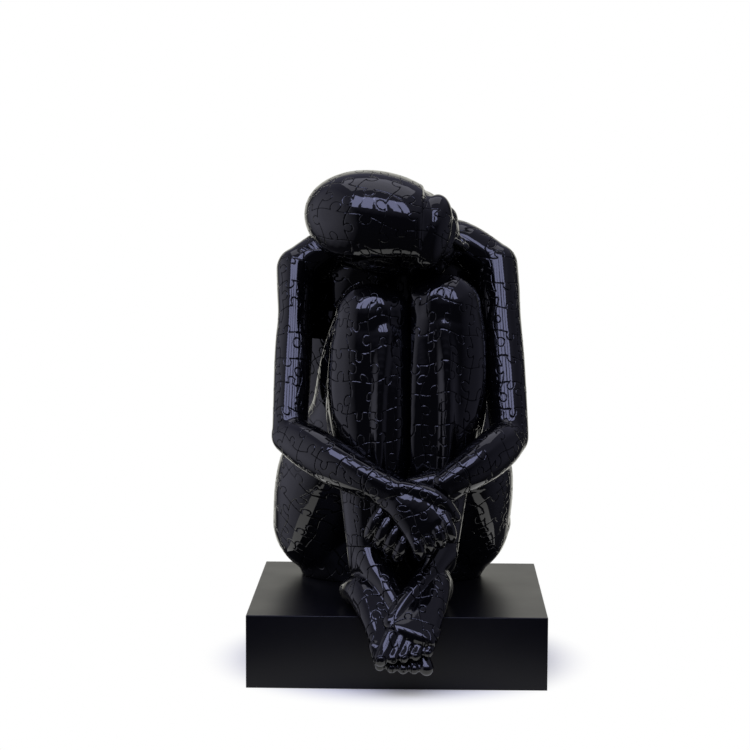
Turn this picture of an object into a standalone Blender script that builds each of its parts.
# Seated figure hugging its drawn-up legs, cast in sections and pinned together, on a box plinth.
# The figure faces -Y and its own right side is at -X. It all stands on the felt's underside, at z = 0.

import math

import bmesh
import bpy
from mathutils import Matrix, Vector

MM = 0.001

# Plinth, a mitre-free box of boards
PLINTH_WIDTH = 300 * MM
PLINTH_DEPTH = 270 * MM
PLINTH_HEIGHT = 74 * MM  # from the underside of the felt to the top face
TOP_THICKNESS = 12 * MM
PANEL_THICKNESS = 10 * MM
BASE_THICKNESS = 9 * MM
FELT_THICKNESS = 2 * MM
FELT_PROUD = 0.5 * MM  # the felt reaches this far below the panels
CORNER_BLOCK_SIZE = 26 * MM
BOARD_EDGE_ROUND = 0.8 * MM

# Fixings
STUD_DIAMETER = 8 * MM
SEAT_STUD_DEPTH = 34 * MM  # into the torso casting
HEEL_STUD_DEPTH = 15 * MM  # into a foot casting
WASHER_DIAMETER = 20 * MM
WASHER_THICKNESS = 1.6 * MM
NUT_ACROSS_FLATS = 13 * MM
NUT_HEIGHT = 6.5 * MM
STUD_TAIL = 4 * MM  # thread showing below the nut
SEAT_STUDS = {"right": (-52, 78), "left": (40, 78)}  # from the middle of the plinth, in millimetres
HEEL_STUDS = {"right": (-39, -80), "left": (40, -80)}
SCREW_DIAMETER = 4 * MM
SCREW_LENGTH = 26 * MM
SCREW_HEAD_DIAMETER = 8 * MM
DOWEL_DIAMETER = 6 * MM
DOWEL_LENGTH = 30 * MM
SLIM_DOWEL_DIAMETER = 4 * MM
SLIM_DOWEL_LENGTH = 16 * MM

# Clearances
GAP = 0.3 * MM  # glue line between faces that meet
BORE_CLEARANCE = 0.2 * MM  # all round a dowel, stud or screw
TOUCH_GAP = 0.5 * MM  # between castings that press against each other

# Skeleton of the figure, in millimetres from the middle of the plinth's top face
HIP_RIGHT = (-73, 70, 68)
HIP_LEFT = (56, 70, 68)
KNEE_RIGHT = (-28, -58, 288)
KNEE_LEFT = (46, -58, 298)
ANKLE_RIGHT = (-24, -92, 46)
ANKLE_LEFT = (34, -88, 50)
SHOULDER_RIGHT = (-108, 20, 335)
SHOULDER_LEFT = (101, 20, 340)
ELBOW_RIGHT = (-111, -60, 170)
ELBOW_LEFT = (113, -60, 169)
WRIST_RIGHT = (-2, -138, 123)
WRIST_LEFT = (44, -130, 128)
HEAD_CENTRE = (-10, -56, 382)
LEG_PARTING = 12  # the drawn-up legs press together on the plane at this distance across

# Sections of the limbs: place along the bone, half width, half depth, shift inwards, shift forwards
THIGH = [(-0.05, 63, 60, 0, 0), (0.1, 67, 60, 0, 0), (0.25, 66, 57, 0, 0), (0.4, 54, 52, 0, 0),
         (0.55, 44, 47, 0, 0), (0.75, 44, 42, 0, 0), (0.9, 41, 38, 0, 0), (1.0, 37, 34, 0, 0)]
SHIN = [(-0.02, 35, 31, 0, 0), (0.1, 42, 35, 0, 0), (0.3, 46, 38, 0, -3), (0.5, 40, 36, 0, -3),
        (0.7, 34, 30, 0, -1), (0.88, 29, 26, 0, 0), (1.0, 26, 24, 0, 0)]
SHIN_BONE_RIGHT = [(0.06, 14, 13, 12, 23), (0.3, 11, 13, 9, 27), (0.6, 10, 12, 6, 25), (0.85, 10, 10, 4, 16)]
SHIN_BONE_LEFT = [(0.06, 14, 13, 0, 23), (0.3, 11, 13, -6, 27), (0.6, 10, 12, -9, 25), (0.85, 10, 10, -4, 16)]
SHIN_FLANK = [(0.02, 16, 18, 19, 8), (0.3, 19, 27, 20, 9), (0.6, 18, 25, 18, 7), (0.85, 13, 18, 12, 2)]
CALF = [(0.15, 40, 30, -3, -12), (0.4, 43, 32, -5, -15), (0.65, 33, 25, -2, -11)]
KNEE = [((0, -4, 2), (36, 31, 36)), ((-14, 3, 4), (23, 26, 27)), ((18, -2, 5), (22, 26, 28)),
        ((4, -21, 1), (22, 13, 31))]  # from the joint: inwards, back and up, then the radii
UPPER_ARM_RIGHT = [(0.0, 22, 27, 0, 0), (0.15, 20, 27, 0, 0), (0.3, 18, 24, 0, 0), (0.5, 19.5, 23, 0, 0),
                   (0.85, 18.5, 20, 0, 0), (1.0, 18, 18, 0, 0)]
UPPER_ARM_LEFT = [(0.0, 22, 27, 0, 0), (0.15, 22, 27, 0, 0), (0.31, 21, 25, 0, 0), (0.56, 21.5, 23, 0, 0),
                  (0.85, 20.5, 21, 0, 0), (1.0, 19.5, 19, 0, 0)]
FOREARM = [(0.0, 19.5, 19, 0, 0), (0.2, 24.5, 21, 0, 6), (0.45, 25, 20, 0, 11), (0.75, 21, 17, 0, 9),
           (1.0, 17.5, 13, 0, 3)]

# Spine of the torso: centre, half width, half depth
TORSO = [((-7, 70, 16), 102, 56), ((-8, 72, 50), 128, 62), ((-7, 72, 90), 123, 60),
         ((-3, 68, 132), 112, 55), ((-2, 62, 180), 111, 53), ((-2, 58, 235), 110, 56),
         ((-2, 52, 285), 106, 56), ((-2, 44, 323), 94, 47), ((-1, 31, 352), 74, 35)]
NECK = [((-1, 26, 350), 44, 30), ((-6, 14, 368), 36, 30), ((-12, -2, 378), 31, 30), ((-14, -20, 383), 32, 32)]
COLLAR_START = (20, 28, TORSO[-1][0][2] + 14)  # one collar runs from here to each shoulder
COLLAR_RISE = 11
COLLAR_SIZES = ((32, 24), (29, 23), (24, 22))
BUTTOCK = ((8, 10, -14), (62, 52, 56))  # from the hip joint, then its radii
SHOULDER_BLADE = ((48, 76, 282), (40, 30, 58))

# Where the castings part: place along the bone, or a point and the direction across the joint
HIP_JOINT = 0.26
ANKLE_JOINT = 0.93
WRIST_JOINT = 0.84
SHOULDER_JOINT_RIGHT = ((-82, 28, 342), (-0.8, -0.6, 0))
SHOULDER_JOINT_LEFT = ((76, 28, 345), (0.8, -0.6, 0))
NECK_JOINT = ((-9, 6, 373), (-0.3, -0.8, 0.5))
ARM_STUB = 0.15  # how far along its bone each limb is modelled into its neighbour before they are parted
FOREARM_STUB = 0.4
THIGH_STUB = 0.55
SHIN_STUB = 0.6
THIGH_MARGIN = 3  # the torso stays this far off the thighs beyond the hip joints

# Blocks that part the castings at those joints: width, depth, reach
NECK_BLOCK = (86 * MM, 86 * MM, 110 * MM)
SHOULDER_BLOCK = (150 * MM, 146 * MM, 220 * MM)
WRIST_BLOCK = (90 * MM, 90 * MM, 110 * MM)
HIP_BLOCK = (520 * MM, 210 * MM, 260 * MM)
ANKLE_BLOCK = (120 * MM, 120 * MM, 140 * MM)
LEG_BLOCK = (700 * MM, 900 * MM, 200 * MM)

# Head, in its own directions: left, forwards, crown
HEAD_FORWARD = (0.95, -0.25, -0.18)
HEAD_CROWN = (-0.25, -0.93, 0.28)
SKULL = ((0, -6, 8), (48.5, 71, 62))
HAIR_CAP = ((0, -9, 8), (52, 78, 66))
HAIRLINE = (0, 34, 0)  # the cap ends at a plane through this point
HAIRLINE_TILT = (0.2, 0.96, -0.2)
FACE = [((0, 26, 2), (43.5, 36, 40)), ((0, 31, -22), (42, 37, 46)), ((0, 39, -58), (24, 24, 19)),
        ((0, 48, 20), (39, 20, 24))]
NOSE = [((0, 65, -2), 5, 5), ((0, 72, -14), 5.5, 6), ((0, 76, -24), 7, 6.5)]
MOUTH = [((-11, 62, -42), 2, 3), ((0, 67.5, -42), 4, 5), ((11, 62, -42), 2, 3)]
CHIN = ((0, 55, -64), (13, 12, 11))

# Hands: centre, half width, half thickness of each section, then each finger's joints
PALM_RIGHT = [((-15, -132, 130), 18, 13), ((-2, -140, 123), 19, 12), ((14, -149, 114), 23, 11),
              ((30, -157, 95), 24, 9)]
PALM_RIGHT_ACROSS = (0.86, 0, 0.5)
PALM_LEFT = [((57, -124, 136), 17, 12), ((44, -132, 128), 17, 11), ((22, -135, 113), 21, 10),
             ((2, -135, 99), 22, 9)]
PALM_LEFT_ACROSS = (0.8, 0, -0.6)
FINGER_RADIUS = 6.0
FINGER_SPACING = 11.8
FINGER_RIGHT = [(30, -157, 96), (36, -162, 84), (37, -155, 75), (34, -145, 73)]
FINGER_LEFT = [(0, -136, 97), (-9, -141, 83), (-13, -136, 71), (-11, -125, 66)]
THUMB_RIGHT = [(6, -143, 130), (27, -151, 127), (45, -153, 118), (56, -147, 103)]
THUMB_LEFT = [(36, -131, 136), (14, -134, 131), (-1, -133, 119)]
THUMB_RADII = (10, 8.5, 7.5, 6.5)

# Feet: centre, half width, half height of each section from the heel to the toe roots
FOOT_RIGHT = [((-41, -72, 13), 19, 13), ((-37, -92, 17), 22, 17), ((-26, -116, 20), 25, 19),
              ((-13, -140, 6), 26, 14), ((-2, -161, -12), 27, 11), ((3, -172, -20), 28, 9)]
FOOT_LEFT = [((41, -70, 13), 14, 13), ((40, -92, 20), 17, 20), ((36, -114, 27), 19, 20),
             ((28, -140, 15), 22, 13), ((19, -163, 0), 25, 10), ((14, -174, -8), 26, 9)]
INSTEP_RIGHT = [((-25, -97, 58), 22, 20), ((-19, -114, 42), 17, 15), ((-8, -133, 27), 12, 11),
                ((5, -152, 8), 10, 9), ((15, -166, -10), 9, 9)]  # the crest from the ankle to the big toe
INSTEP_LEFT = [((38, -94, 56), 23, 21), ((34, -113, 46), 14, 14), ((22, -132, 32), 10, 11),
               ((7, -149, 17), 9, 10), ((-5, -165, 1), 9, 9)]
FOOT_ACROSS = (1, 0.22, 0)
TOE_RADIUS = 5.4
BIG_TOE_RADIUS = 7.4
TOE_SPACING = 10.8
TOE_REACH = (-1, -12, -18)
TOE_LEAN = 8  # the tips lie this much nearer the other foot than the roots
TOE_MIDDLE = 2.1  # counted from the big toe
BIG_TOE_ASIDE = 1.5
TOE_LENGTHS = (1.15, 1.14, 1.12, 1.05, 0.92)

# Mesh fineness
WELD_DISTANCE = 0.00002
RING_POINTS = 20
DIGIT_RING_POINTS = 12
STUD_POINTS = 16
SCREW_POINTS = 12
BODY_VOXEL = 4.0 * MM
FINE_VOXEL = 2.2 * MM
BODY_SMOOTHING = 6
HEAD_SMOOTHING = 4
FINE_SMOOTHING = 3
TRIANGLES = {"torso": 1700, "head": 1000, "arm": 1000, "hand": 1050, "leg": 1300, "foot": 1050}

for old in list(bpy.data.objects):
    bpy.data.objects.remove(old, do_unlink=True)

parts = bpy.data.collections.new("seated_figure_sculpture")
cutters = bpy.data.collections.new("cutters")
bpy.context.scene.collection.children.link(parts)
bpy.context.scene.collection.children.link(cutters)

SEAT = Vector((0, 0, PLINTH_HEIGHT))


def figure_point(point):
    """A skeleton point, in metres above the plinth."""
    return SEAT + Vector(point) * MM


def material(name, colour, roughness, metallic=0.0):
    made = bpy.data.materials.new(name)
    made.use_nodes = True
    shader = made.node_tree.nodes["Principled BSDF"]
    shader.inputs["Base Color"].default_value = (*colour, 1)
    shader.inputs["Roughness"].default_value = roughness
    shader.inputs["Metallic"].default_value = metallic
    made.diffuse_color = (*colour, 1)
    return made


RESIN = material("black_lacquered_resin", (0.012, 0.012, 0.016), 0.08)
LACQUERED_BOARD = material("black_lacquered_board", (0.014, 0.014, 0.016), 0.4)
RAW_BOARD = material("raw_board", (0.35, 0.24, 0.14), 0.75)
STEEL = material("zinc_plated_steel", (0.6, 0.6, 0.62), 0.3, 1.0)
FELT = material("black_felt", (0.02, 0.02, 0.02), 0.95)


def add_object(name, mesh, finish):
    made = bpy.data.objects.new(name, mesh)
    if finish:
        mesh.materials.clear()
        mesh.materials.append(finish)
    parts.objects.link(made)
    return made


def mesh_from(bm, name):
    bmesh.ops.recalc_face_normals(bm, faces=bm.faces)
    mesh = bpy.data.meshes.new(name)
    bm.to_mesh(mesh)
    bm.free()
    return mesh


def evaluated(made, name):
    """Replaces an object by the mesh that its modifiers give."""
    bpy.context.view_layer.update()
    graph = bpy.context.evaluated_depsgraph_get()
    mesh = bpy.data.meshes.new_from_object(made.evaluated_get(graph))
    mesh.name = name
    bpy.data.objects.remove(made, do_unlink=True)
    return mesh


def as_cutter(made):
    for collection in list(made.users_collection):
        collection.objects.unlink(made)
    cutters.objects.link(made)
    made.hide_render = True
    made.display_type = "WIRE"
    return made


def cut(piece, cutter):
    step = piece.modifiers.new("cut_" + cutter.name, "BOOLEAN")
    step.operation = "DIFFERENCE"
    step.solver = "EXACT"
    step.object = cutter
    return step


def box(name, low, high, finish=None, edge_round=0.0):
    low, high = Vector(low), Vector(high)
    bm = bmesh.new()
    bmesh.ops.create_cube(bm, size=1)
    bmesh.ops.scale(bm, vec=high - low, verts=bm.verts)
    if edge_round:
        bmesh.ops.bevel(bm, geom=bm.edges, offset=edge_round, segments=2, profile=0.5, affect="EDGES")
    made = add_object(name, mesh_from(bm, name), finish)
    made.location = (low + high) / 2
    return made


def rod(name, start, end, diameter, finish=None, points=STUD_POINTS, end_diameter=None):
    start, end = Vector(start), Vector(end)
    along = end - start
    bm = bmesh.new()
    bmesh.ops.create_cone(bm, cap_ends=True, segments=points, radius1=diameter / 2,
                          radius2=(end_diameter or diameter) / 2, depth=along.length)
    made = add_object(name, mesh_from(bm, name), finish)
    made.rotation_mode = "QUATERNION"
    made.rotation_quaternion = along.to_track_quat("Z", "Y")
    made.location = (start + end) / 2
    return made


def catmull(values, place):
    """Smooth value at a fractional place in a list of vectors."""
    last = len(values) - 1
    low = min(int(place), last - 1)
    t = place - low
    before = values[max(low - 1, 0)]
    start, end = values[low], values[low + 1]
    after = values[min(low + 2, last)]
    return 0.5 * ((2 * start) + (end - before) * t + (2 * before - 5 * start + 4 * end - after) * t ** 2
                  + (3 * start - before - 3 * end + after) * t ** 3)


def tube(bm, sections, across, steps=3, points=RING_POINTS):
    """A closed soft tube through sections of centre, half width and half depth, with rounded ends."""
    rows = [Vector((*centre, width, depth)) for centre, width, depth in sections]
    smooth = [catmull(rows, i / steps) for i in range((len(rows) - 1) * steps + 1)]
    centres = [Vector(row[:3]) for row in smooth]
    rings = []
    for i, row in enumerate(smooth):
        along = (centres[min(i + 1, len(centres) - 1)] - centres[max(i - 1, 0)]).normalized()
        rings.append((centres[i], along, row[3], row[4]))
    first, last = rings[0], rings[-1]
    for turn in (0.35, 0.75, 0.95):
        size = math.sqrt(1 - turn ** 2)
        reach = turn * min(first[2], first[3])
        rings.insert(0, (first[0] - first[1] * reach, first[1], first[2] * size, first[3] * size))
        reach = turn * min(last[2], last[3])
        rings.append((last[0] + last[1] * reach, last[1], last[2] * size, last[3] * size))
    loops = []
    for centre, along, width, depth in rings:
        side = (Vector(across) - along * along.dot(Vector(across))).normalized()
        front = along.cross(side)
        frame = Matrix((side * width, front * depth, along)).transposed().to_4x4()
        frame.translation = centre
        loops.append(bmesh.ops.create_circle(bm, segments=points, radius=1, matrix=frame)["verts"])
    for low, high in zip(loops, loops[1:]):
        edges = [e for loop in (low, high) for v in loop for e in v.link_edges if e.other_vert(v) in loop]
        edges = list(set(edges))
        bmesh.ops.bridge_loops(bm, edges=edges)
    for loop in (loops[0], loops[-1]):
        bmesh.ops.contextual_create(bm, geom=loop)


def limb_sections(start, end, profile, inwards, forwards=(0, -1, 0)):
    start, end = Vector(start), Vector(end)
    along = (end - start).normalized()
    front = (Vector(forwards) - along * along.dot(Vector(forwards))).normalized()
    inner = (Vector(inwards) - along * along.dot(Vector(inwards))).normalized()
    return [(start.lerp(end, t) + inner * aside + front * ahead, width, depth)
            for t, width, depth, aside, ahead in profile]


def ellipsoid(bm, centre, radii, frame=None):
    place = Matrix.Translation(Vector(centre)) @ Matrix.Diagonal((*radii, 1))
    bmesh.ops.create_uvsphere(bm, u_segments=24, v_segments=14, radius=1, matrix=(frame or Matrix()) @ place)


def head_frame():
    """The head's own directions as a matrix: left, forwards and crown, about the middle of the skull."""
    forward = Vector(HEAD_FORWARD).normalized()
    crown = Vector(HEAD_CROWN)
    crown = (crown - forward * forward.dot(crown)).normalized()
    frame = Matrix((crown.cross(forward), forward, crown)).transposed().to_4x4()
    frame.translation = Vector(HEAD_CENTRE)
    return frame


# The figure's two sides: its right is at -X
RIGHT, LEFT = -1, 1
SIDE_NAMES = {RIGHT: "right", LEFT: "left"}
SKELETON = {
    RIGHT: {"hip": HIP_RIGHT, "knee": KNEE_RIGHT, "ankle": ANKLE_RIGHT, "shoulder": SHOULDER_RIGHT,
            "elbow": ELBOW_RIGHT, "wrist": WRIST_RIGHT},
    LEFT: {"hip": HIP_LEFT, "knee": KNEE_LEFT, "ankle": ANKLE_LEFT, "shoulder": SHOULDER_LEFT,
           "elbow": ELBOW_LEFT, "wrist": WRIST_LEFT},
}


def torso_shapes(bm, first=0, last=len(TORSO)):
    tube(bm, TORSO[first:last], (1, 0, 0))


def back_shapes(bm):
    centre, radii = SHOULDER_BLADE
    for side in SIDE_NAMES:
        ellipsoid(bm, (side * centre[0], centre[1], centre[2]), radii)


def buttock_shapes(bm, side):
    offset, radii = BUTTOCK
    ellipsoid(bm, Vector(SKELETON[side]["hip"]) + Vector((-side * offset[0], offset[1], offset[2])), radii)


def collar_shapes(bm, side):
    shoulder = SKELETON[side]["shoulder"]
    inner_end = Vector((side * COLLAR_START[0], COLLAR_START[1], COLLAR_START[2]))
    middle = inner_end.lerp(Vector(shoulder), 0.5) + Vector((0, 0, COLLAR_RISE))
    places = (inner_end, middle, shoulder)
    tube(bm, [(place, *size) for place, size in zip(places, COLLAR_SIZES)], (0, 1, 0))


def neck_shapes(bm):
    tube(bm, NECK, (1, 0, 0))


def cap_shapes(bm, frame):
    """The close hair, an egg cut off at the hairline."""
    cap = bmesh.new()
    ellipsoid(cap, *HAIR_CAP)
    whole = cap.verts[:] + cap.edges[:] + cap.faces[:]
    rim = bmesh.ops.bisect_plane(cap, geom=whole, plane_co=HAIRLINE,
                                 plane_no=Vector(HAIRLINE_TILT).normalized(), clear_outer=True)["geom_cut"]
    bmesh.ops.contextual_create(cap, geom=[e for e in rim if isinstance(e, bmesh.types.BMEdge)])
    cap.transform(frame)
    spare = bpy.data.meshes.new("hair_cap")
    cap.to_mesh(spare)
    cap.free()
    bm.from_mesh(spare)
    bpy.data.meshes.remove(spare)


def head_shapes(bm):
    frame = head_frame()
    turn = frame.to_3x3()
    ellipsoid(bm, *SKULL, frame)
    for centre, radii in FACE + [CHIN]:
        ellipsoid(bm, centre, radii, frame)
    cap_shapes(bm, frame)
    for sections, across in ((NOSE, (1, 0, 0)), (MOUTH, (0, 0, 1))):
        placed = [(frame @ Vector(centre), width, depth) for centre, width, depth in sections]
        tube(bm, placed, turn @ Vector(across))


def upper_arm_shapes(bm, side, reach=1.0):
    joints = SKELETON[side]
    profile = UPPER_ARM_RIGHT if side == RIGHT else UPPER_ARM_LEFT
    profile = [row for row in profile if row[0] <= reach]
    tube(bm, limb_sections(joints["shoulder"], joints["elbow"], profile, (-side, 0, 0)), (1, 0, 0))


def forearm_shapes(bm, side, start=0.0):
    joints = SKELETON[side]
    profile = [row for row in FOREARM if row[0] >= start]
    tube(bm, limb_sections(joints["elbow"], joints["wrist"], profile, (-side, 0, 0)), (0, -0.5, 1))


def palm_shapes(bm, side, last=4):
    palm, across = (PALM_RIGHT, PALM_RIGHT_ACROSS) if side == RIGHT else (PALM_LEFT, PALM_LEFT_ACROSS)
    tube(bm, palm[:last], across)


def finger_shapes(bm, side):
    across = PALM_RIGHT_ACROSS if side == RIGHT else PALM_LEFT_ACROSS
    joints = FINGER_RIGHT if side == RIGHT else FINGER_LEFT
    thumb = THUMB_RIGHT if side == RIGHT else THUMB_LEFT
    row = Vector(across).normalized()
    for finger in range(4):
        shift = row * (finger - 1.5) * FINGER_SPACING
        tube(bm, [(Vector(p) + shift, FINGER_RADIUS, FINGER_RADIUS) for p in joints], across,
             steps=2, points=DIGIT_RING_POINTS)
    tube(bm, [(p, radius, radius) for p, radius in zip(thumb, THUMB_RADII)], across,
         steps=2, points=DIGIT_RING_POINTS)


def thigh_shapes(bm, side, reach=1.0):
    joints = SKELETON[side]
    profile = [row for row in THIGH if row[0] <= reach]
    tube(bm, limb_sections(joints["hip"], joints["knee"], profile, (-side, 0, 0)), (1, 0, 0))


def shin_shapes(bm, side, start=-0.1):
    joints = SKELETON[side]
    for rows in (SHIN, SHIN_BONE_RIGHT if side == RIGHT else SHIN_BONE_LEFT, SHIN_FLANK, CALF):
        profile = [row for row in rows if row[0] >= start]
        if len(profile) > 1:
            tube(bm, limb_sections(joints["knee"], joints["ankle"], profile, (-side, 0, 0)), (1, 0, 0))


def knee_shapes(bm, side):
    knee = Vector(SKELETON[side]["knee"])
    for (inwards, back, up), radii in KNEE:
        ellipsoid(bm, knee + Vector((-side * inwards, back, up)), radii)


def foot_shapes(bm, side, last=6):
    sections, instep = (FOOT_RIGHT, INSTEP_RIGHT) if side == RIGHT else (FOOT_LEFT, INSTEP_LEFT)
    tube(bm, sections[:last], FOOT_ACROSS)
    tube(bm, instep[:last - 1], FOOT_ACROSS)


def toe_shapes(bm, side):
    sections = FOOT_RIGHT if side == RIGHT else FOOT_LEFT
    outwards = Vector(FOOT_ACROSS).normalized() * side
    roots = Vector(sections[-1][0])
    for toe in range(5):
        big = toe == 0
        radius = BIG_TOE_RADIUS if big else TOE_RADIUS
        start = roots + outwards * ((toe - TOE_MIDDLE) * TOE_SPACING - (BIG_TOE_ASIDE if big else 0))
        start += outwards * TOE_LEAN * 0.6
        reach = (Vector(TOE_REACH) - outwards * TOE_LEAN) * TOE_LENGTHS[toe]
        tube(bm, [(start, radius, radius), (start + reach * 0.6, radius * 0.95, radius * 0.85),
                  (start + reach, radius * 0.92, radius * 0.9)], FOOT_ACROSS, steps=2,
             points=DIGIT_RING_POINTS)


def casting(name, shapes, voxel, smoothing, triangles):
    """One soft form from overlapping shapes: fused on a grid, smoothed and thinned to so many triangles."""
    bm = bmesh.new()
    for shape, *values in shapes:
        shape(bm, *values)
    bmesh.ops.scale(bm, vec=(MM, MM, MM), verts=bm.verts)
    bmesh.ops.translate(bm, vec=SEAT, verts=bm.verts)
    made = add_object(name + "_form", mesh_from(bm, name), None)
    fuse = made.modifiers.new("fuse", "REMESH")
    fuse.mode = "VOXEL"
    fuse.voxel_size = voxel
    soften = made.modifiers.new("soften", "SMOOTH")
    soften.factor = 0.5
    soften.iterations = round(smoothing)
    mesh = evaluated(made, name)
    made = add_object(name + "_form", mesh, None)
    thin = made.modifiers.new("thin", "DECIMATE")
    thin.use_collapse_triangulate = True
    thin.ratio = min(1.0, triangles / (2 * len(mesh.polygons)))
    return add_object(name, evaluated(made, name), RESIN)


def plane_on_limb(side, start, end, profile, place):
    """The middle of a limb part of the way along its bone, and the bone's direction."""
    start, end = Vector(SKELETON[side][start]), Vector(SKELETON[side][end])
    centres = [section[0] for section in limb_sections(start, end, profile, (-side, 0, 0))]
    places = [row[0] for row in profile]
    i = max(i for i, t in enumerate(places[:-1]) if t <= place)
    share = (place - places[i]) / (places[i + 1] - places[i])
    return centres[i].lerp(centres[i + 1], share), (end - start).normalized()


def slab_after(name, point, direction, size):
    """A block that starts at a joint's plane and runs along its direction, to part a casting there."""
    width, depth, length = size
    along = Vector(direction).normalized()
    across = (Vector((1, 0, 0)) - along * along.x).normalized()
    if abs(along.x) > 0.8:
        across = (Vector((0, 1, 0)) - along * along.y).normalized()
    bm = bmesh.new()
    bmesh.ops.create_cube(bm, size=1)
    bmesh.ops.scale(bm, vec=(width, depth, length), verts=bm.verts)
    bmesh.ops.translate(bm, vec=(0, 0, length / 2), verts=bm.verts)
    frame = Matrix((across, along.cross(across), along)).transposed().to_4x4()
    frame.translation = point
    made = add_object(name, mesh_from(bm, name), None)
    made.matrix_world = frame
    return as_cutter(made)


def part_at(near, far, name, point, direction, size):
    """Parts two castings at a plane: each loses what lies on the other's side of it."""
    point, direction = figure_point(point), Vector(direction).normalized()
    cut(near, slab_after(name + "_beyond", point, direction, size))
    cut(far, slab_after(name + "_before", point + direction * GAP, -direction, size))
    return point, direction


def thigh_room(side, point, direction):
    """The room that the torso leaves for a thigh beyond the hip joint."""
    joints = SKELETON[side]
    bm = bmesh.new()
    profile = [(t, width + THIGH_MARGIN, depth + THIGH_MARGIN, *shifts) for t, width, depth, *shifts in THIGH]
    tube(bm, limb_sections(joints["hip"], joints["knee"], profile, (-side, 0, 0)), (1, 0, 0))
    whole = bm.verts[:] + bm.edges[:] + bm.faces[:]
    rim = bmesh.ops.bisect_plane(bm, geom=whole, plane_co=point, plane_no=direction,
                                 clear_inner=True)["geom_cut"]
    bmesh.ops.contextual_create(bm, geom=[e for e in rim if isinstance(e, bmesh.types.BMEdge)])
    bmesh.ops.scale(bm, vec=(MM, MM, MM), verts=bm.verts)
    bmesh.ops.translate(bm, vec=SEAT, verts=bm.verts)
    name = SIDE_NAMES[side] + "_thigh_room"
    return as_cutter(add_object(name, mesh_from(bm, name), None))


def settle(piece):
    """Applies a casting's cuts and drops the crumbs that they leave."""
    name = piece.name
    mesh = evaluated(piece, name)
    bm = bmesh.new()
    bm.from_mesh(mesh)
    bmesh.ops.remove_doubles(bm, verts=bm.verts, dist=WELD_DISTANCE)
    bmesh.ops.dissolve_degenerate(bm, edges=bm.edges, dist=WELD_DISTANCE)
    left = set(bm.faces)
    islands = []
    while left:
        island, edge_of_island = set(), [left.pop()]
        while edge_of_island:
            face = edge_of_island.pop()
            island.add(face)
            for near in {f for e in face.edges for f in e.link_faces} & left:
                left.discard(near)
                edge_of_island.append(near)
        islands.append(island)
    islands.sort(key=lambda island: sum(f.calc_area() for f in island))
    crumbs = [face for island in islands[:-1] for face in island]
    bmesh.ops.delete(bm, geom=crumbs, context="FACES")
    bmesh.ops.triangulate(bm, faces=[f for f in bm.faces if len(f.verts) > 4])
    bm.to_mesh(mesh)
    bm.free()
    return add_object(name, mesh, RESIN)


def swollen(piece, name):
    """A cutter with a casting's own shape, larger all round by the touch gap."""
    made = add_object(name, piece.data.copy(), None)
    swell = made.modifiers.new("swell", "DISPLACE")
    swell.mid_level = 0.0
    swell.strength = TOUCH_GAP
    return as_cutter(made)


def pin(name, casting_near, casting_far, point, direction, diameter, length):
    """A dowel across a joint, and the bores that it sits in."""
    half = direction * (length / 2)
    reach = direction * (length / 2 + BORE_CLEARANCE)
    rod(name, point - half, point + half, diameter, STEEL, points=SCREW_POINTS)
    bore = as_cutter(rod(name + "_bore", point - reach, point + reach, diameter + 2 * BORE_CLEARANCE,
                         points=SCREW_POINTS))
    cut(casting_near, bore)
    cut(casting_far, bore)


def make_castings():
    """The whole forms, each modelled a little way into its neighbours before they are parted."""
    shared = [(torso_shapes,), (back_shapes,), (neck_shapes,)]
    for side in SIDE_NAMES:
        shared += [(buttock_shapes, side), (collar_shapes, side), (upper_arm_shapes, side, ARM_STUB),
                   (thigh_shapes, side, THIGH_STUB)]
    torso = casting("torso_casting", shared, BODY_VOXEL, BODY_SMOOTHING, TRIANGLES["torso"])
    head = casting("head_casting", [(head_shapes,), (neck_shapes,)], FINE_VOXEL, HEAD_SMOOTHING,
                   TRIANGLES["head"])
    arms, hands, legs, feet = {}, {}, {}, {}
    for side, word in SIDE_NAMES.items():
        arms[side] = casting(word + "_arm_casting", [
            (upper_arm_shapes, side), (forearm_shapes, side), (palm_shapes, side, 3), (collar_shapes, side),
        ], BODY_VOXEL, BODY_SMOOTHING, TRIANGLES["arm"])
        hands[side] = casting(word + "_hand_casting", [
            (palm_shapes, side), (finger_shapes, side), (forearm_shapes, side, FOREARM_STUB),
        ], FINE_VOXEL, FINE_SMOOTHING, TRIANGLES["hand"])
        legs[side] = casting(word + "_leg_casting", [
            (thigh_shapes, side), (shin_shapes, side), (knee_shapes, side), (foot_shapes, side, 3),
            (buttock_shapes, side),
        ], BODY_VOXEL, BODY_SMOOTHING, TRIANGLES["leg"])
        feet[side] = casting(word + "_foot_casting", [
            (foot_shapes, side), (toe_shapes, side), (shin_shapes, side, SHIN_STUB),
        ], FINE_VOXEL, FINE_SMOOTHING, TRIANGLES["foot"])
    return torso, head, arms, hands, legs, feet


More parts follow.
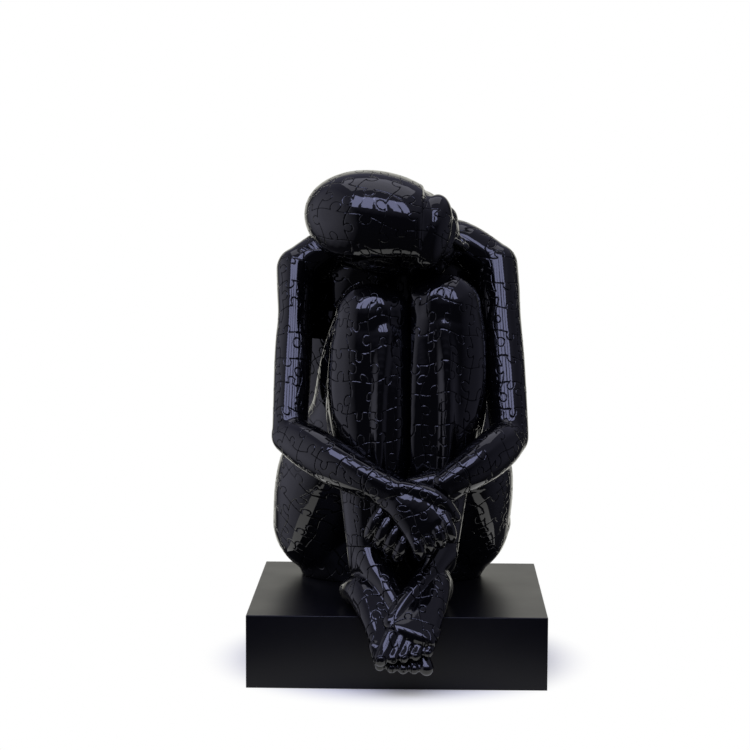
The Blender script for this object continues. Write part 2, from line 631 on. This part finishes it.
def make_figure():
    torso, head, arms, hands, legs, feet = make_castings()
    pins = []
    block = as_cutter(box("plinth_room", (-PLINTH_WIDTH / 2 - GAP, -PLINTH_DEPTH / 2 - GAP, 0),
                          (PLINTH_WIDTH / 2 + GAP, PLINTH_DEPTH / 2 + GAP, PLINTH_HEIGHT + GAP)))
    cut(torso, block)
    point, direction = part_at(torso, head, "neck", *NECK_JOINT, NECK_BLOCK)
    pins.append(("neck_dowel", torso, head, point, direction, DOWEL_DIAMETER, DOWEL_LENGTH))
    for side, word in SIDE_NAMES.items():
        arm, hand, leg, foot = arms[side], hands[side], legs[side], feet[side]
        place, across = SHOULDER_JOINT_RIGHT if side == RIGHT else SHOULDER_JOINT_LEFT
        point, direction = part_at(torso, arm, word + "_shoulder", place, across, SHOULDER_BLOCK)
        pins.append((word + "_shoulder_dowel", torso, arm, point, direction, DOWEL_DIAMETER, DOWEL_LENGTH))

        place, across = plane_on_limb(side, "elbow", "wrist", FOREARM, WRIST_JOINT)
        point, direction = part_at(arm, hand, word + "_wrist", place, across, WRIST_BLOCK)
        pins.append((word + "_wrist_dowel", arm, hand, point, direction, SLIM_DOWEL_DIAMETER,
                     SLIM_DOWEL_LENGTH))

        place, across = plane_on_limb(side, "hip", "knee", THIGH, HIP_JOINT)
        cut(torso, thigh_room(side, place, across))
        point = figure_point(place)
        cut(leg, slab_after(word + "_hip_before", point + across * GAP, -across, HIP_BLOCK))
        pins.append((word + "_hip_dowel", torso, leg, point, across, DOWEL_DIAMETER, DOWEL_LENGTH))

        place, across = plane_on_limb(side, "knee", "ankle", SHIN, ANKLE_JOINT)
        point, direction = part_at(leg, foot, word + "_ankle", place, across, ANKLE_BLOCK)
        pins.append((word + "_ankle_dowel", leg, foot, point, direction, DOWEL_DIAMETER, DOWEL_LENGTH))
        cut(foot, block)

        parting = figure_point((LEG_PARTING, 0, 0)) + Vector((side * GAP / 2, 0, 0))
        cut(leg, slab_after(word + "_leg_parting", parting, (-side, 0, 0), LEG_BLOCK))

    for pin_values in pins:
        pin(*pin_values)
    torso = settle(torso)
    for side in SIDE_NAMES:
        legs[side] = settle(legs[side])
    shapes = {side: swollen(legs[side], SIDE_NAMES[side] + "_leg_room") for side in SIDE_NAMES}

    cut(feet[RIGHT], shapes[LEFT])
    feet[RIGHT] = settle(feet[RIGHT])
    cut(feet[LEFT], shapes[RIGHT])
    cut(feet[LEFT], swollen(feet[RIGHT], "right_foot_room"))
    feet[LEFT] = settle(feet[LEFT])

    torso_room = swollen(torso, "torso_room")
    for side in (LEFT, RIGHT):
        cut(arms[side], torso_room)
        for leg_side in SIDE_NAMES:
            cut(arms[side], shapes[leg_side])
            cut(hands[side], shapes[leg_side])
    arms[LEFT] = settle(arms[LEFT])
    left_arm_room = swollen(arms[LEFT], "left_arm_room")
    hands[LEFT] = settle(hands[LEFT])
    left_hand_room = swollen(hands[LEFT], "left_hand_room")
    for room in (left_arm_room, left_hand_room):
        cut(arms[RIGHT], room)
        cut(hands[RIGHT], room)
    arms[RIGHT] = settle(arms[RIGHT])
    hands[RIGHT] = settle(hands[RIGHT])

    right_arm_room = swollen(arms[RIGHT], "right_arm_room")
    for room in (shapes[RIGHT], shapes[LEFT], torso_room, left_arm_room, right_arm_room):
        cut(head, room)
    settle(head)
    return torso, feet


def turned(name, profile, place, finish):
    """A turned piece: its half outline runs from the top of the axis, down the outer side, to the bottom."""
    bm = bmesh.new()
    points = [bm.verts.new((radius, 0, height)) for radius, height in profile]
    for start, end in zip(points, points[1:]):
        bm.edges.new((start, end))
    mesh = bpy.data.meshes.new(name)
    bm.to_mesh(mesh)
    bm.free()
    made = add_object(name, mesh, finish)
    made.location = place
    spin = made.modifiers.new("turn", "SCREW")
    spin.steps = spin.render_steps = SCREW_POINTS
    spin.use_merge_vertices = True
    spin.merge_threshold = WELD_DISTANCE
    return made


def make_plinth():
    half_width, half_depth = PLINTH_WIDTH / 2, PLINTH_DEPTH / 2
    top_underside = PLINTH_HEIGHT - TOP_THICKNESS
    panel_top = top_underside - GAP
    top = box("plinth_top", (-half_width, -half_depth, top_underside), (half_width, half_depth, PLINTH_HEIGHT),
              LACQUERED_BOARD, edge_round=BOARD_EDGE_ROUND)
    for name, side in (("plinth_front_panel", -1), ("plinth_back_panel", 1)):
        faces = sorted((side * half_depth, side * (half_depth - PANEL_THICKNESS)))
        box(name, (-half_width, faces[0], FELT_PROUD), (half_width, faces[1], panel_top), LACQUERED_BOARD,
            edge_round=BOARD_EDGE_ROUND)
    inner_depth = half_depth - PANEL_THICKNESS - GAP
    for name, side in (("plinth_right_panel", -1), ("plinth_left_panel", 1)):
        faces = sorted((side * half_width, side * (half_width - PANEL_THICKNESS)))
        box(name, (faces[0], -inner_depth, FELT_PROUD), (faces[1], inner_depth, panel_top), LACQUERED_BOARD)

    inner_width = half_width - PANEL_THICKNESS - GAP
    base_bottom = FELT_THICKNESS + GAP
    base_top = base_bottom + BASE_THICKNESS
    box("felt_base", (-inner_width, -inner_depth, 0), (inner_width, inner_depth, FELT_THICKNESS), FELT)
    base = box("plinth_base_board", (-inner_width, -inner_depth, base_bottom),
               (inner_width, inner_depth, base_top), RAW_BOARD)

    block_bottom, block_top = base_top + GAP, top_underside - GAP
    head_depth = (SCREW_HEAD_DIAMETER - SCREW_DIAMETER) / 2
    for y_name, y_side in (("front", -1), ("back", 1)):
        for x_name, x_side in (("right", -1), ("left", 1)):
            corner = (x_side * inner_width, y_side * inner_depth)
            inner = (x_side * (inner_width - CORNER_BLOCK_SIZE), y_side * (inner_depth - CORNER_BLOCK_SIZE))
            low = [min(a, b) for a, b in zip(corner, inner)]
            high = [max(a, b) for a, b in zip(corner, inner)]
            place = f"{y_name}_{x_name}"
            block = box("corner_block_" + place, (*low, block_bottom), (*high, block_top), RAW_BOARD)
            x, y = [(a + b) / 2 for a, b in zip(corner, inner)]
            head_z = base_bottom + BORE_CLEARANCE
            point_z = head_z + SCREW_LENGTH
            radius = SCREW_DIAMETER / 2
            turned("base_screw_" + place, [
                (0, point_z), (radius, point_z - SCREW_DIAMETER), (radius, head_z + head_depth),
                (SCREW_HEAD_DIAMETER / 2, head_z), (0, head_z),
            ], (x, y, 0), STEEL)
            bore_width = SCREW_DIAMETER + 2 * BORE_CLEARANCE
            below = (x, y, base_bottom - GAP)
            bore = as_cutter(rod("screw_bore_" + place, below, (x, y, point_z + BORE_CLEARANCE), bore_width,
                                 points=SCREW_POINTS))
            sink_width = SCREW_HEAD_DIAMETER + 2 * BORE_CLEARANCE
            sink_top = (x, y, head_z + head_depth + BORE_CLEARANCE)
            sink = as_cutter(rod("screw_sink_" + place, below, sink_top, sink_width + 2 * GAP,
                                 points=SCREW_POINTS, end_diameter=bore_width))
            cut(base, bore)
            cut(base, sink)
            cut(block, bore)
    return top, top_underside


def bolt_down(top, top_underside, name, place, depth, held):
    """A stud cast into a figure's underside, with its washer and nut below the plinth's top."""
    x, y = place[0] * MM, place[1] * MM
    washer_top = top_underside - GAP
    nut_top = washer_top - WASHER_THICKNESS - GAP
    tail = nut_top - NUT_HEIGHT - STUD_TAIL
    stud_top = PLINTH_HEIGHT + depth
    bore = as_cutter(rod(name + "_stud_bore", (x, y, tail - GAP), (x, y, stud_top + BORE_CLEARANCE),
                         STUD_DIAMETER + 2 * BORE_CLEARANCE))
    rod(name + "_stud", (x, y, tail), (x, y, stud_top), STUD_DIAMETER, STEEL)
    washer = rod(name + "_washer", (x, y, washer_top - WASHER_THICKNESS), (x, y, washer_top), WASHER_DIAMETER,
                 STEEL)
    nut_width = NUT_ACROSS_FLATS / math.cos(math.pi / 6)
    nut = rod(name + "_nut", (x, y, nut_top - NUT_HEIGHT), (x, y, nut_top), nut_width, STEEL, points=6)
    for piece in (top, washer, nut, held):
        cut(piece, bore)


seat_casting, foot_castings = make_figure()
plinth_top, plinth_top_underside = make_plinth()
for side, word in SIDE_NAMES.items():
    bolt_down(plinth_top, plinth_top_underside, word + "_seat", SEAT_STUDS[word], SEAT_STUD_DEPTH, seat_casting)
    bolt_down(plinth_top, plinth_top_underside, word + "_heel", HEEL_STUDS[word], HEEL_STUD_DEPTH,
              foot_castings[side])
